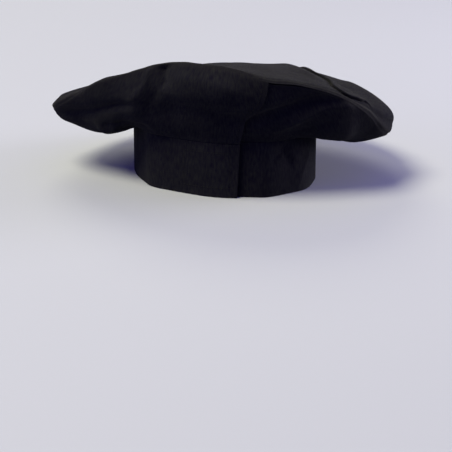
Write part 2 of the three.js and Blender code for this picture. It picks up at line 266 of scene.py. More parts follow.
# Fineness of the meshes
SIDE_COLUMNS = 490
SIDE_ROWS = 76
TOP_COLUMNS = 480
TOP_ROWS = 96
TOP_COLUMN_CROWDS = [
    # angle, width in degrees, extra share of columns there
    (329, 13, 3.2),
]
TOP_ROW_CROWDS = [
    # place, width, extra share of rows there
    (0.0, 0.06, 1.5),
    (0.17, 0.1, 2.2),
]
FIRST_TOP_ROW = 0.007
CROWD_SAMPLES = 4000
BAND_COLUMNS = 520
BAND_ROWS = 36
UNDERLAP_COLUMNS = 40
EDGE_SHARES = (0.0, 0.08, 0.3, 0.62, 1.0)
MERGE_DISTANCE = 0.00002

# Small steps for slopes of a surface, in degrees and as a share of its width
SMALL_TURN = 0.36
SMALL_PLACE = 0.002
TINY_LENGTH = 1e-9

# The photograph's camera: 15 degrees above the floor, looking at the closure side.
# BAND_PIXEL is where the centre of the band's foot falls in the picture.
ELEVATION = 15.0
DISTANCE = 1600.0
MM_PER_PIXEL = 0.95
PICTURE = 452.0
BAND_PIXEL = (224.0, 171.0)
SENSOR = 36.0
VIEW_END = 100.0

# Twill: spacings in metres, turns in degrees from the grain
RIB_SPACING = 0.0009
RIB_TURN = 27.0
PICK_SPACING = 0.0006
PICK_TURN = 90.0
SLUB_SCALE = (680.0, 150.0, 1.0)

# Lights, room and floor
LIGHTS = [
    # name, place, target, size, watts, colour
    ("key", (-1.6, -1.15, 3.3), (0.0, 0.0, 0.05), 1.8, 400.0, (1.0, 0.98, 0.56)),
    ("back", (-0.6, 2.6, 1.9), (0.0, 0.0, 0.05), 1.6, 115.0, (1.0, 0.99, 0.58)),
    ("side", (1.7, 0.45, 0.26), (0.05, 0.0, 0.03), 1.3, 100.0, (1.0, 0.96, 0.85)),
    ("fill", (-1.8, -0.7, 0.35), (-0.05, 0.0, 0.03), 1.3, 12.0, (1.0, 0.95, 1.4)),
]
ROOM_COLOUR = (0.68, 0.54, 3.3, 1.0)
ROOM_STRENGTH = 0.22
FLOOR_COLOUR = (0.185, 0.190, 0.257, 1.0)
FLOOR_REACH = 14.0


def smooth(value, low, high):
    """A soft step from 0 at low to 1 at high."""
    share = np.clip((value - low) / (high - low), 0.0, 1.0)
    return share * share * (3.0 - 2.0 * share)


def near_turn(angle):
    """The same turn between -180 and 180 degrees."""
    return (angle + 180.0) % 360.0 - 180.0


def bell(distance, width):
    """1 at no distance, falling off on both sides."""
    return np.exp(-((distance / width) ** 2))


def hermite(start, end, start_slope, end_slope, share):
    """A cubic curve between two values with the slopes that it has there."""
    square = share * share
    cube = square * share
    return (start * (2 * cube - 3 * square + 1) + start_slope * (cube - 2 * square + share)
            + end * (3 * square - 2 * cube) + end_slope * (cube - square))


def section(angle):
    """The columns of the section table at any angles, by a smooth curve through the rows."""
    table = np.array(SECTIONS, dtype=float)
    at, value = table[:, 0], table[:, 1:]
    count = len(at)
    turn = np.mod(angle, 360.0)
    here = (np.searchsorted(at, turn, side="right") - 1) % count
    after = (here + 1) % count

    def gap(one, two):
        return np.mod(at[two] - at[one], 360.0)[..., None]

    def slope(middle):
        before, beyond = (middle - 1) % count, (middle + 1) % count
        gap_before, gap_beyond = gap(before, middle), gap(middle, beyond)
        slope_before = (value[middle] - value[before]) / gap_before
        slope_beyond = (value[beyond] - value[middle]) / gap_beyond
        return (slope_before * gap_beyond + slope_beyond * gap_before) / (gap_before + gap_beyond)

    span = gap(here, after)
    share = np.mod(turn - at[here], 360.0)[..., None] / span
    return hermite(value[here], value[after], slope(here) * span, slope(after) * span, share)


def band_radius(angle):
    """Radius of the band's dented oval."""
    turn = np.radians(angle - BAND_TURN)
    radius = 1.0 / np.hypot(np.cos(turn) / BAND_LONG, np.sin(turn) / BAND_SHORT)
    for at, width, depth in BAND_DENTS:
        radius = radius + depth * bell(near_turn(angle - at), width)
    return radius


def length_of(vectors):
    """The length of each vector, kept as a last axis of one."""
    return np.linalg.norm(vectors, axis=-1, keepdims=True)


def unit(vectors):
    """The same vectors with a length of one."""
    return vectors / np.maximum(length_of(vectors), TINY_LENGTH)


def along(points, slopes, place):
    """A smooth curve through a few points, place 0 at the first and 1 at the last."""
    lengths = [length_of(q - p) for p, q in zip(points, points[1:])]
    reach = place[..., None] * sum(lengths)
    result = None
    start = np.zeros_like(reach)
    for index, length in enumerate(lengths):
        share = np.clip((reach - start) / length, 0.0, 1.0)
        piece = hermite(points[index], points[index + 1],
                        slopes[index] * length, slopes[index + 1] * length, share)
        result = piece if result is None else np.where(reach > start, piece, result)
        start = start + length
    return result


def slope_at_end(chord, slope_inside):
    """Slope at the free end of a curve, from its last chord and the slope at its other end."""
    return 1.5 * chord - 0.5 * slope_inside


def side_profile(angle, place):
    """Radius and height of the side ring, from the band (0) to the rim seam (1)."""
    rows = section(angle)
    radius = band_radius(angle)
    foot = np.stack([radius, np.full_like(radius, BAND_HEIGHT)], -1)
    belly, seam = rows[..., 0:2], rows[..., 2:4]
    below, above = length_of(belly - foot), length_of(seam - belly)
    first, second = (belly - foot) / below, (seam - belly) / above
    middle = (first * above + second * below) / (above + below)
    slopes = [slope_at_end(first, middle), middle, slope_at_end(second, middle)]
    return along([foot, belly, seam], slopes, place)


def top_profile(angle, place):
    """Radius and height of the top, from the rim seam (0) to the middle (1)."""
    rows = section(angle)
    seam, brow = rows[..., 2:4], rows[..., 4:6]
    zero = np.zeros_like(angle)
    cap = np.stack([CAP_SHARE * seam[..., 0], rows[..., 6]], -1)
    middle = np.stack([zero, zero + CENTRE_Z], -1)
    turn = np.radians(angle)
    chords = [unit(brow - seam), unit(cap - brow), unit(middle - cap)]
    at_brow = 0.5 * (chords[0] + chords[1])
    at_cap = 0.5 * (chords[1] + chords[2])
    at_middle = np.stack([zero - 1.0, -TILT_X * np.cos(turn) - TILT_Y * np.sin(turn)], -1)
    slopes = [slope_at_end(chords[0], at_brow), at_brow, at_cap, at_middle]
    return along([seam, brow, cap, middle], slopes, place)


def band_profile(angle, place):
    """Radius and height of the band, from the floor (0) to the band seam (1)."""
    return np.stack(np.broadcast_arrays(band_radius(angle), place * BAND_HEIGHT), -1)


def turned(profile):
    """The surface that a profile makes as it goes around the hat."""
    def surface(angle, place):
        flat = profile(angle, place)
        turn = np.radians(angle)
        return np.stack([flat[..., 0] * np.cos(turn), flat[..., 0] * np.sin(turn), flat[..., 1]], -1)
    return surface


def on_disc(angle, radius):
    """A place on the flat pattern of the side ring or the top."""
    turn = np.radians(angle)
    return np.stack([radius * np.cos(turn), radius * np.sin(turn)], -1)


def on_strip(angle, height):
    """A place on the flat pattern of the band."""
    return np.stack(np.broadcast_arrays(np.radians(angle) * BAND_MEAN, height), -1)


def fold_lift(folds, here, pattern=on_disc):
    """How far the folds lift the cloth at places on the flat pattern.

    A fold is deepest along the middle of its path and runs out at both ends.
    """
    lift = np.zeros(here.shape[:-1])
    for depth, width, bend, path in folds:
        corners = [pattern(*place) for place in path]
        lengths = [np.linalg.norm(q - p) for p, q in zip(corners, corners[1:])]
        total = sum(lengths)
        nearest = np.full(lift.shape, np.inf)
        reached = np.zeros(lift.shape)
        before = 0.0
        for start, end, length in zip(corners, corners[1:], lengths):
            stroke = end - start
            share = np.clip(((here - start) @ stroke) / length ** 2, 0.0, 1.0)
            distance = np.linalg.norm(here - start - share[..., None] * stroke, axis=-1)
            closer = distance < nearest
            reached = np.where(closer, (before + share * length) / total, reached)
            nearest = np.minimum(nearest, distance)
            before += length
        runs_out = smooth(reached, 0.0, RUN_OUT) * smooth(1.0 - reached, 0.0, RUN_OUT)
        lift += depth * runs_out * np.exp(-(np.hypot(nearest, bend) - bend) / width)
    return lift


def noise_over(places, span, seed):
    """Soft noise of about -1 to 1 over places on the flat pattern."""
    flat = (places / span).reshape(-1, 2)
    value = [noise.noise(Vector((u, v, seed))) for u, v in flat.tolist()]
    return np.array(value).reshape(places.shape[:-1])


def ripple(angle, spacing, seed):
    """An uneven ripple around the hat, about -1 to 1, that meets itself after a turn.

    The noise is read on a circle where a degree is one millimetre long.
    """
    return 2.0 * noise_over(on_disc(angle, 360.0 / math.tau), spacing, seed)


def normal_of(surface, angle, place):
    """The outward direction of a surface."""
    around = surface(angle + SMALL_TURN, place) - surface(angle - SMALL_TURN, place)
    low, high = np.maximum(place - SMALL_PLACE, 0.0), np.minimum(place + SMALL_PLACE, 1.0)
    up = surface(angle, high) - surface(angle, low)
    return unit(np.cross(around, up))


def folded(base, lift_at):
    """A surface with folds lifted along its outward direction."""
    def surface(angle, place):
        normal = normal_of(base, angle, np.minimum(place, 1.0 - SMALL_PLACE))
        return base(angle, place) + normal * lift_at(angle, place)[..., None]
    return surface


def side_pattern(angle, place):
    """Where a point of the side ring lies on its flat pattern."""
    return on_disc(angle, RING_INNER + RING_WIDTH * place)


def top_pattern(angle, place):
    """Where a point of the top lies on its flat pattern."""
    return on_disc(angle, TOP_RADIUS * (1.0 - place))


def band_pattern(angle, place):
    """Where a point of the band lies on its flat pattern."""
    return on_strip(angle, BAND_HEIGHT * place)


def side_lift(angle, place):
    """How far the folds lift the side ring, fading out at both seams."""
    fade = smooth(place, 0.0, FOLD_FADE_AT_BAND) * smooth(1.0 - place, 0.0, FOLD_FADE_AT_RIM)
    return fade * fold_lift(SIDE_FOLDS, side_pattern(angle, place))


def top_lift(angle, place):
    """How far the folds lift the top, fading out at the rim seam."""
    return smooth(place, 0.0, FOLD_FADE_AT_RIM) * fold_lift(TOP_FOLDS, top_pattern(angle, place))


def tuck_line():
    """The line of the tuck on the flat pattern, in short even steps with rounded corners."""
    corners = np.array([on_disc(*place) for place in TUCK_PATH])
    reach = np.concatenate([[0.0], np.cumsum(length_of(np.diff(corners, axis=0))[:, 0])])
    marks = np.linspace(0.0, reach[-1], TUCK_STEPS)
    line = np.stack([np.interp(marks, reach, corners[:, axis]) for axis in range(2)], -1)
    for _ in range(TUCK_ROUNDING):
        line[1:-1] = (line[:-2] + 2.0 * line[1:-1] + line[2:]) / 4.0
    return line


def tucked(here):
    """Places on the top's flat pattern slid over the tuck, and how far the tuck lifts them."""
    line = tuck_line()
    forward = unit(np.gradient(line, axis=0))
    far_side = np.stack([-forward[:, 1], forward[:, 0]], -1)
    share = np.linspace(0.0, 1.0, len(line))
    strength = smooth(share, 0.0, TUCK_RUN_OUT) * smooth(1.0 - share, 0.0, TUCK_RUN_OUT)
    slid, lift = here.copy(), np.zeros(here.shape[:-1])
    past_low = here > line.min(axis=0) - TUCK_REACH
    before_high = here < line.max(axis=0) + TUCK_REACH
    close = np.all(past_low & before_high, axis=-1)
    offset = here[close][:, None] - line
    nearest = np.argmin(np.sum(offset ** 2, axis=-1), axis=1)
    outward = far_side[nearest]
    beyond = np.sum(offset[np.arange(len(nearest)), nearest] * outward, axis=-1)
    slide = (TUCK_OVERHANG * bell(beyond - TUCK_OVERHANG_PLACE, TUCK_WIDTH)
             + TUCK_GAP * bell(beyond - TUCK_GAP_PLACE, TUCK_GAP_WIDTH))
    rise = (TUCK_ROLL * bell(beyond - TUCK_ROLL_PLACE, TUCK_WIDTH)
            - TUCK_DEPTH * np.exp(-np.abs(beyond) / TUCK_DEPTH_WIDTH))
    slid[close] -= outward * (strength[nearest] * slide)[:, None]
    lift[close] = strength[nearest] * rise
    return slid, lift


def puckers(angle, from_rim):
    """Small waves square to the rim seam, the same on both of its sides."""
    height = PUCKER_HEIGHT * np.exp(-from_rim / PUCKER_REACH)
    return height * ripple(angle[:, :1], PUCKER_SPACING, PUCKER_SEED)


def side_detail(angle, place):
    """Gathers over the band seam, puckers along the rim seam and slack between them."""
    from_band = place * RING_WIDTH
    from_rim = (1.0 - place) * RING_WIDTH
    gathers = ripple(angle[:, :1], GATHER_SPACING, GATHER_SEED)
    detail = GATHER_HEIGHT * gathers * np.exp(-from_band / GATHER_REACH)
    detail = detail + puckers(angle, from_rim)
    detail = detail + SLACK_HEIGHT * noise_over(side_pattern(angle, place), SLACK_SPAN, SIDE_SLACK_SEED)
    return detail * smooth(np.minimum(from_band, from_rim), 0.0, DETAIL_FADE)


def top_detail(angle, place):
    """A lip and puckers along the rim seam, and slack over the rest."""
    from_rim = place * TOP_RADIUS
    detail = LIP_HEIGHT * bell(from_rim - LIP_PLACE, LIP_WIDTH)
    detail = detail - GROOVE_DEPTH * bell(from_rim - GROOVE_PLACE, LIP_WIDTH)
    detail = detail + puckers(angle, from_rim)
    detail = detail + SLACK_HEIGHT * noise_over(top_pattern(angle, place), SLACK_SPAN, TOP_SLACK_SEED)
    return detail * smooth(from_rim, 0.0, DETAIL_FADE)


def band_detail(angle, place):
    """Small wrinkles of the band and its slack, none at the seam with the crown."""
    detail = fold_lift(BAND_FOLDS, band_pattern(np.mod(angle, 360.0), place), on_strip)
    slack = ripple(angle[:, :1], BAND_SLACK_SPACING, BAND_SLACK_SEED) * (BAND_SLACK_AT_FLOOR + place)
    detail = detail + BAND_SLACK_HEIGHT * slack
    return detail * smooth(1.0 - place, 0.0, FOLD_FADE_AT_BAND)


side_surface = folded(turned(side_profile), side_lift)
top_surface = folded(turned(top_profile), top_lift)
band_surface = turned(band_profile)


def leaving(surface, angle, end):
    """The direction along a surface away from one of its edges, square to that edge."""
    place = np.full_like(angle, end)
    edge = unit(surface(angle + SMALL_TURN, place) - surface(angle - SMALL_TURN, place))
    inside = np.full_like(angle, 1.0 - SMALL_PLACE if end > 0.5 else SMALL_PLACE)
    away = surface(angle, inside) - surface(angle, place)
    return unit(away - edge * np.sum(away * edge, -1, keepdims=True))


def mitre(own, own_end, other, other_end, angle):
    """How the edge of a layer moves for each millimetre that it lies under the outer face."""
    away = leaving(own, angle, own_end)
    inward = unit(away + leaving(other, angle, other_end))
    normal = normal_of(own, angle, np.full_like(angle, own_end))
    points_outward = np.sum(inward * normal, -1, keepdims=True) > 0.0
    inward = np.where(points_outward, -inward, inward)
    sine = np.sqrt(1.0 - np.sum(away * inward, -1, keepdims=True) ** 2)
    return inward / sine


def layered(surface, angle, place, depths, detail, seams, width):
    """Grids of points at some depths under a surface, with its fine detail added.

    seams holds (end, other surface, other end) for each edge that meets another piece. There
    the layers turn into the corner between the two, so that no wedge opens inside it.
    """
    base = surface(angle, place)
    normal = normal_of(surface, angle, place)
    inward = -normal
    for end, other, other_end in seams:
        share = 1.0 - smooth(np.abs(place - end) * width, 0.0, MITRE_REACH)
        near = share > 0.0
        way = mitre(surface, end, other, other_end, angle[near])
        inward[near] += (way - inward[near]) * share[near][:, None]
    base = base + normal * detail[..., None]
    return [base + inward * depth[..., None] for depth in depths]


def lap_depth(turn, full):
    """How far a strip lies under the outer layer, by its turn from the lap's edge."""
    return full * (1.0 - smooth(turn, 0.0, LAP_RAMP))


def rounded(distance, thickness):
    """Depths of the outer and inner faces near a rounded edge of the cloth."""
    half = thickness / 2.0
    share = np.clip(distance / half, 0.0, 1.0)
    swell = half * np.sqrt(1.0 - (1.0 - share) ** 2)
    return half - swell, half + swell


def near_edge(thickness):
    """Distances from a rounded edge at which it needs rows of its own."""
    return np.array(EDGE_SHARES) * thickness / 2.0


def edge_places(length, steps, thickness):
    """Places across a strip with extra rows where its two edges round off."""
    near = near_edge(thickness) / length
    inside = np.linspace(0.0, 1.0, steps + 1)[1:-1]
    inside = inside[(inside > near[-1] * 2) & (inside < 1.0 - near[-1] * 2)]
    return np.concatenate([near, inside, 1.0 - near[::-1]])


def crowded(low, high, count, crowds):
    """Values from low to high that stand closer together around some of them."""
    fine = np.linspace(low, high, CROWD_SAMPLES)
    density = 1.0 + sum(extra * bell(fine - centre, width) for centre, width, extra in crowds)
    reach = np.cumsum(density)
    return np.interp(np.linspace(reach[0], reach[-1], count), reach, fine)


def grid_normal(points):
    """Outward normals of a grid of points whose columns run all the way round."""
    around = np.roll(points, -1, axis=0) - np.roll(points, 1, axis=0)
    return unit(np.cross(around, np.gradient(points, axis=1)))


def lapped_turns(steps_around, thickness, radius):
    """Shares of the underlap (negative), then turns in degrees from the lap's edge.

    Extra columns stand close to both ends, where the cloth's edge is rounded.
    """
    turns = np.degrees(near_edge(thickness) / radius)
    under_part = np.linspace(-1.0, 0.0, UNDERLAP_COLUMNS + 1)[:-1]
    under_part = np.concatenate([-1.0 + turns[:-1] / UNDERLAP_AT_BAND, under_part[1:]])
    around = np.linspace(0.0, 360.0 - turns[-1], steps_around + 1)
    return np.concatenate([under_part, around, 360.0 - turns[:-1][::-1]])


def end_distance(mark, underlap, radius):
    """Distance in millimetres from the nearer end of a lapped strip."""
    from_start = np.where(mark < 0.0, (mark + 1.0) * underlap, np.inf)
    from_end = np.where(mark > 0.0, 360.0 - mark, np.inf)
    return np.radians(np.minimum(from_start, from_end)) * radius


def wear_and_highlight_near(distance, reach):
    """How much paler the cloth is, 1 along a seam or edge and nothing away from it. It is wear, and
    along the rim seam and its lip it is also painted highlight.
    """
    return np.exp(-distance / reach)


def smooth_piece(name, points, faces):
    """A smoothly shaded object from points in millimetres around the band's centre."""
    placed = (np.array(points) + np.array([*BAND_CENTRE, 0.0])) * MM
    mesh = bpy.data.meshes.new(name)
    mesh.from_pydata(placed.tolist(), [], faces)
    mesh.polygons.foreach_set("use_smooth", np.ones(len(mesh.polygons), dtype=bool))
    piece = bpy.data.objects.new(name, mesh)
    bpy.context.scene.collection.objects.link(piece)
    return piece


def grid_mesh(name, layers, patterns, wear_and_highlight, wraps=False):
    """One closed cloth mesh from an outer and an inner grid of points in millimetres.

    Columns run around the hat and rows across the strip. patterns holds the flat place of each point,
    and the grid after it holds how much paler the cloth is there: wear, and along the rim seam and its
    lip also painted highlight. The cloth's material reads that.
    """
    outer, inner = layers
    columns, rows = outer.shape[:2]
    count = columns * rows
    index = np.arange(count).reshape(columns, rows)
    spans = columns if wraps else columns - 1
    here = index[:spans]
    after = np.roll(index, -1, axis=0)[:spans]
    under_here, under_after = here + count, after + count

    def quads(*corners):
        return np.stack(corners, -1).reshape(-1, 4)

    faces = [
        quads(here[:, :-1], after[:, :-1], after[:, 1:], here[:, 1:]),
        quads(under_here[:, :-1], under_here[:, 1:], under_after[:, 1:], under_after[:, :-1]),
        quads(here[:, 0], under_here[:, 0], under_after[:, 0], after[:, 0]),
        quads(here[:, -1], after[:, -1], under_after[:, -1], under_here[:, -1]),
    ]
    if not wraps:
        first, last = index[0], index[-1]
        faces.append(quads(first[:-1], first[1:], first[1:] + count, first[:-1] + count))
        faces.append(quads(last[:-1], last[:-1] + count, last[1:] + count, last[1:]))
    points = np.concatenate([outer.reshape(-1, 3), inner.reshape(-1, 3)])
    piece = smooth_piece(name, points, np.concatenate(faces).tolist())
    mesh = piece.data
    flat = mesh.uv_layers.new(name="cloth")
    corners = np.empty(len(mesh.loops), dtype=np.int32)
    mesh.loops.foreach_get("vertex_index", corners)
    flat_places = np.concatenate([patterns.reshape(-1, 2)] * 2) * MM
    flat.data.foreach_set("uv", flat_places[corners].ravel())
    paler_by_wear_and_highlight = mesh.attributes.new(name="wear_and_highlight", type="FLOAT", domain="POINT")
    paler_by_wear_and_highlight.data.foreach_set("value", np.concatenate([wear_and_highlight.ravel()] * 2))
    return piece


def merged(piece):
    """Join the points that meet in one place, such as a disc's middle."""
    work = bmesh.new()
    work.from_mesh(piece.data)
    bmesh.ops.remove_doubles(work, verts=work.verts, dist=MERGE_DISTANCE)
    work.to_mesh(piece.data)
    work.free()
    return piece


def side_edge_angle(place):
    """Angle of the lap's edge on the side ring."""
    return np.interp(place, [row[0] for row in LAP_EDGE], [row[1] for row in LAP_EDGE])


def crown_side():
    """The side ring: its columns follow the slanted lap edge near it and stand upright far from it."""
    mark, place = np.meshgrid(lapped_turns(SIDE_COLUMNS, PLY, LAP_RADIUS),
                              edge_places(RING_WIDTH, SIDE_ROWS, PLY), indexing="ij")
    turn = np.maximum(mark, 0.0)
    underlap = UNDERLAP_AT_BAND + (UNDERLAP_AT_SEAM - UNDERLAP_AT_BAND) * place
    edge = side_edge_angle(place)
    far = smooth(np.minimum(turn, 360.0 - turn), 0.0, LAP_SLANT_TURN)
    start = edge + (LAP_EDGE[0][1] - edge) * far
    angle = start + turn + np.minimum(mark, 0.0) * underlap
    depth = lap_depth(turn, LAP_DEPTH + (CROWN_LAP_DEPTH_AT_SEAM - LAP_DEPTH) * place)
    from_seam = np.minimum(place, 1.0 - place) * RING_WIDTH
    from_end = end_distance(mark, underlap, LAP_RADIUS)
    layers = layered(side_surface, angle, place,
                     [depth + face for face in rounded(np.minimum(from_seam, from_end), PLY)],
                     side_detail(angle, place),
                     [(0, band_surface, 1), (1, top_surface, 0)], RING_WIDTH)
    # Paler along the rim seam for wear and painted highlight, and paler at the lap's end for wear.
    wear_and_highlight = wear_and_highlight_near((1.0 - place) * RING_WIDTH, WEAR_AND_HIGHLIGHT_AT_RIM) + wear_and_highlight_near(from_end, WEAR_AT_END)
    return grid_mesh("crown_side_cloth", layers, side_pattern(angle, place), wear_and_highlight)


def crown_top():
    """The top: its points slide over the tuck before they are placed on the folded surface."""
    turns = crowded(0.0, 360.0, TOP_COLUMNS + 1, TOP_COLUMN_CROWDS)[:-1]
    inner_places = crowded(FIRST_TOP_ROW, 1.0, TOP_ROWS, TOP_ROW_CROWDS)
    places = np.concatenate([near_edge(PLY) / TOP_RADIUS, inner_places])
    angle, place = np.meshgrid(turns, places, indexing="ij")
    from_rim = place * TOP_RADIUS
    pattern = top_pattern(angle, place)
    slid, tuck_lift = tucked(pattern)
    slid_angle = np.degrees(np.arctan2(slid[..., 1], slid[..., 0]))
    slid_place = np.clip(1.0 - np.linalg.norm(slid, axis=-1) / TOP_RADIUS, 0.0, 1.0)
    outer, inner = layered(top_surface, slid_angle, slid_place, rounded(from_rim, PLY),
                           top_detail(angle, place) + tuck_lift, [(0, side_surface, 1)], TOP_RADIUS)
    past_mitre = smooth(from_rim, MITRE_REACH, 2.0 * MITRE_REACH)[..., None]
    inner = inner + (outer - grid_normal(outer) * PLY - inner) * past_mitre
    for layer in (outer, inner):
        layer[:, -1] = layer[:, -2].mean(axis=0)
    # Paler along the lip: painted highlight of the lit ridge, with some wear.
    wear_and_highlight = wear_and_highlight_near(np.abs(from_rim - LIP_PLACE), WEAR_AND_HIGHLIGHT_ON_LIP)
    return merged(grid_mesh("crown_top_cloth", [outer, inner], pattern, wear_and_highlight, wraps=True))


def headband():
    """The band: one wall that stands for cloth folded double, with its ends lapped."""
    mark, place = np.meshgrid(lapped_turns(BAND_COLUMNS, BAND_WALL, BAND_MEAN),
                              edge_places(BAND_HEIGHT, BAND_ROWS, BAND_WALL), indexing="ij")
    turn = np.maximum(mark, 0.0)
    start = BAND_LAP[0] + (BAND_LAP[1] - BAND_LAP[0]) * place
    angle = start + turn + np.minimum(mark, 0.0) * UNDERLAP_AT_BAND
    from_seam = np.minimum(place, 1.0 - place) * BAND_HEIGHT
    from_end = end_distance(mark, UNDERLAP_AT_BAND, BAND_MEAN)
    depth = lap_depth(turn, LAP_DEPTH)
    layers = layered(band_surface, angle, place,
                     [depth + face for face in rounded(np.minimum(from_seam, from_end), BAND_WALL)],
                     band_detail(angle, place), [(1, side_surface, 0)], BAND_HEIGHT)
    wear_and_highlight = wear_and_highlight_near(place * BAND_HEIGHT, WEAR_AT_FLOOR) + wear_and_highlight_near(from_end, WEAR_AT_END)
    return grid_mesh("headband_cloth", layers, band_pattern(angle, place), wear_and_highlight)


def stitch_row(surface, detail, path):
    """Centre lines of the stitches along a path of (angle, place) on a piece's outer face."""
    spans = len(path) - 1
    marks = np.linspace(0.0, spans, spans * STITCH_PATH_STEPS + 1)
    angle, place = (np.interp(marks, np.arange(spans + 1), column) for column in zip(*path))
    lift = detail(angle[:, None], place[:, None]) + STITCH_LIFT
    points = surface(angle, place) + normal_of(surface, angle, place) * lift
    reach = np.concatenate([[0.0], np.cumsum(length_of(np.diff(points, axis=0))[:, 0])])
    count = int(reach[-1] / (STITCH_LENGTH + STITCH_GAP))
    steps = (reach[-1] / count) * np.arange(count)
    lines = []
    for step in steps:
        marks = step + STITCH_LENGTH * np.linspace(0.0, 1.0, STITCH_POINTS)
        lines.append(np.stack([np.interp(marks, reach, points[:, axis]) for axis in range(3)], -1))
    return lines


def stitches(name, lines):
    """One joined mesh of short threads that dip into the cloth at both ends."""
    ring = np.arange(THREAD_SIDES)
    next_in_ring = np.roll(ring, -1)
    turns = math.tau / THREAD_SIDES * ring[:, None]
    points, faces = [], []
    for line in lines:
        along_line = unit(line[-1] - line[0])
        side = unit(np.cross(along_line, NOT_ALONG_A_STITCH))
        other = np.cross(along_line, side)
        circle = THREAD * (np.cos(turns) * side + np.sin(turns) * other)
        steps = len(line) - 1 + 2.0 * STEPS_BEFORE_FIRST_POINT
        for index, centre in enumerate(line):
            first = len(points)
            swell = math.sin(math.pi * (index + STEPS_BEFORE_FIRST_POINT) / steps)
            points.extend(centre + swell * circle)
            if index == 0:
                faces.append((first + ring[::-1]).tolist())
            else:
                before = first - THREAD_SIDES
                sleeve = [before + ring, before + next_in_ring, first + next_in_ring, first + ring]
                faces.extend(np.stack(sleeve, -1).tolist())
        faces.append((first + ring).tolist())
    return smooth_piece(name, points, faces)


def new_material(name):
    """An empty material with its nodes, links and shader."""
    material = bpy.data.materials.new(name)
    material.use_nodes = True
    nodes = material.node_tree.nodes
    return material, nodes, material.node_tree.links, nodes["Principled BSDF"]


def tone_ramp(nodes, links, factor, low, high):
    """A colour that runs with a factor between two stops of (place, red, green, blue)."""
    ramp = nodes.new("ShaderNodeValToRGB")
    for element, (place, *colour) in zip(ramp.color_ramp.elements, (low, high)):
        element.position = place
        element.color = (*colour, 1.0)
    links.new(factor, ramp.inputs["Fac"])
    return ramp.outputs["Color"]


def noise_node(nodes, links, vector, scale, detail, roughness=0.5):
    """Soft noise as a value, with its scale in cells for each metre."""
    node = nodes.new("ShaderNodeTexNoise")
    node.inputs["Scale"].default_value = scale
    node.inputs["Detail"].default_value = detail
    node.inputs["Roughness"].default_value = roughness
    links.new(vector, node.inputs["Vector"])
    return node.outputs["Fac"]


def wave_node(nodes, links, vector, spacing, distortion):
    """Parallel ribs as a value, with a spacing in metres.

    A wave node at scale 1 has tau / 20 between its bands.
    """
    node = nodes.new("ShaderNodeTexWave")
    node.inputs["Scale"].default_value = math.tau / 20.0 / spacing
    node.inputs["Distortion"].default_value = distortion
    node.inputs["Detail"].default_value = 2.0
    node.inputs["Detail Scale"].default_value = 1.5
    links.new(vector, node.inputs["Vector"])
    return node.outputs["Fac"]


def mapping_node(nodes, links, vector, turn=0.0, scale=(1.0, 1.0, 1.0)):
    """Places on the cloth turned by some degrees and scaled."""
    node = nodes.new("ShaderNodeMapping")
    node.inputs["Rotation"].default_value[2] = math.radians(turn)
    node.inputs["Scale"].default_value = scale
    links.new(vector, node.inputs["Vector"])
    return node.outputs["Vector"]


def bump_node(nodes, links, height, distance, strength, below=None):
    """Bumps of a height in metres, over the bumps below them."""
    node = nodes.new("ShaderNodeBump")
    node.inputs["Distance"].default_value = distance
    node.inputs["Strength"].default_value = strength
    links.new(height, node.inputs["Height"])
    if below is not None:
        links.new(below, node.inputs["Normal"])
    return node.outputs["Normal"]


def mixed(nodes, links, factor, one, two, mode="MIX"):
    """A colour mix; factor, one and two are sockets or plain values."""
    node = nodes.new("ShaderNodeMix")
    node.data_type = "RGBA"
    node.blend_type = mode
    for name, value in (("Factor", factor), ("A", one), ("B", two)):
        if isinstance(value, bpy.types.NodeSocket):
            links.new(value, node.inputs[name])
        else:
            node.inputs[name].default_value = value
    return node.outputs["Result"]


